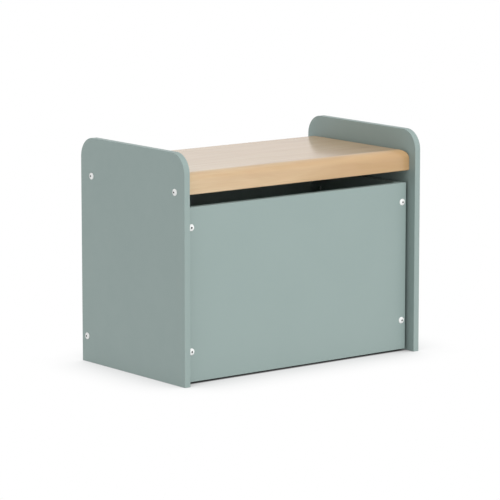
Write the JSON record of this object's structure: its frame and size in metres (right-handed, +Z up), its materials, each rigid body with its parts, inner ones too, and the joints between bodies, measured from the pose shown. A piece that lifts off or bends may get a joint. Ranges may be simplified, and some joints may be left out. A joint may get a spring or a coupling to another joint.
{
  "type": "toy box",
  "caption": "Child's storage bench: painted side panels carry a thick wooden seat, and a toy bin on castors rolls out from under it.",
  "frame": {"origin": "on the floor, in the middle of the bench's width and depth", "axes": "+X to the bench's right seen from the front, +Y to the back, +Z up; the bin pulls out towards -Y"},
  "size_m": [0.6706, 0.385, 0.508],
  "materials": {
    "painted_board": "smooth satin sage green paint on wood board",
    "seat_timber": "clear satin lacquer on pale straight-grained timber",
    "white_bolt": "glossy white paint on domed hexagon-socket heads",
    "zinc_steel": "bright zinc plating",
    "dowel_wood": "plain sanded beech",
    "hub_plastic": "moulded nylon",
    "grey_tyre": "soft matt grey tread"
  },
  "bodies": {
    "bench": {"left_side_panel": "painted_board", "right_side_panel": "painted_board", "seat_board": "seat_timber", "back_panel": "painted_board", "left_side_bolts": "white_bolt", "right_side_bolts": "white_bolt", "back_bolts": "white_bolt", "seat_nuts": "zinc_steel", "back_panel_nuts": "zinc_steel", "seat_dowels": "dowel_wood", "back_panel_dowels": "dowel_wood"},
    "bin": {"bin_front_panel": "painted_board", "bin_left_wall": "painted_board", "bin_right_wall": "painted_board", "bin_rear_wall": "painted_board", "bin_floor": "painted_board", "bin_front_bolts": "white_bolt", "bin_rear_bolts": "white_bolt", "bin_wall_nuts": "zinc_steel", "bin_dowels": "dowel_wood", "front_left_castor_bracket": "zinc_steel", "front_left_castor_axle": "zinc_steel", "front_left_castor_screws": "zinc_steel", "front_right_castor_bracket": "zinc_steel", "front_right_castor_axle": "zinc_steel", "front_right_castor_screws": "zinc_steel", "rear_left_castor_bracket": "zinc_steel", "rear_left_castor_axle": "zinc_steel", "rear_left_castor_screws": "zinc_steel", "rear_right_castor_bracket": "zinc_steel", "rear_right_castor_axle": "zinc_steel", "rear_right_castor_screws": "zinc_steel"},
    "front_left_wheel": {"front_left_wheel_hub": "hub_plastic", "front_left_wheel_tyre": "grey_tyre"},
    "front_right_wheel": {"front_right_wheel_hub": "hub_plastic", "front_right_wheel_tyre": "grey_tyre"},
    "rear_left_wheel": {"rear_left_wheel_hub": "hub_plastic", "rear_left_wheel_tyre": "grey_tyre"},
    "rear_right_wheel": {"rear_right_wheel_hub": "hub_plastic", "rear_right_wheel_tyre": "grey_tyre"}
  },
  "joints": [
    {"name": "bin_slide", "type": "slide", "parent": "bench", "child": "bin", "axis": [0, -1, 0], "range_m": [0, 0.36]},
    {"name": "front_left_wheel_spin", "type": "hinge", "parent": "bin", "child": "front_left_wheel", "pos_m": [-0.255, -0.1195, 0.015], "axis": [1, 0, 0], "continuous": true},
    {"name": "front_right_wheel_spin", "type": "hinge", "parent": "bin", "child": "front_right_wheel", "pos_m": [0.255, -0.1195, 0.015], "axis": [1, 0, 0], "continuous": true},
    {"name": "rear_left_wheel_spin", "type": "hinge", "parent": "bin", "child": "rear_left_wheel", "pos_m": [-0.255, 0.1075, 0.015], "axis": [1, 0, 0], "continuous": true},
    {"name": "rear_right_wheel_spin", "type": "hinge", "parent": "bin", "child": "rear_right_wheel", "pos_m": [0.255, 0.1075, 0.015], "axis": [1, 0, 0], "continuous": true}
  ]
}
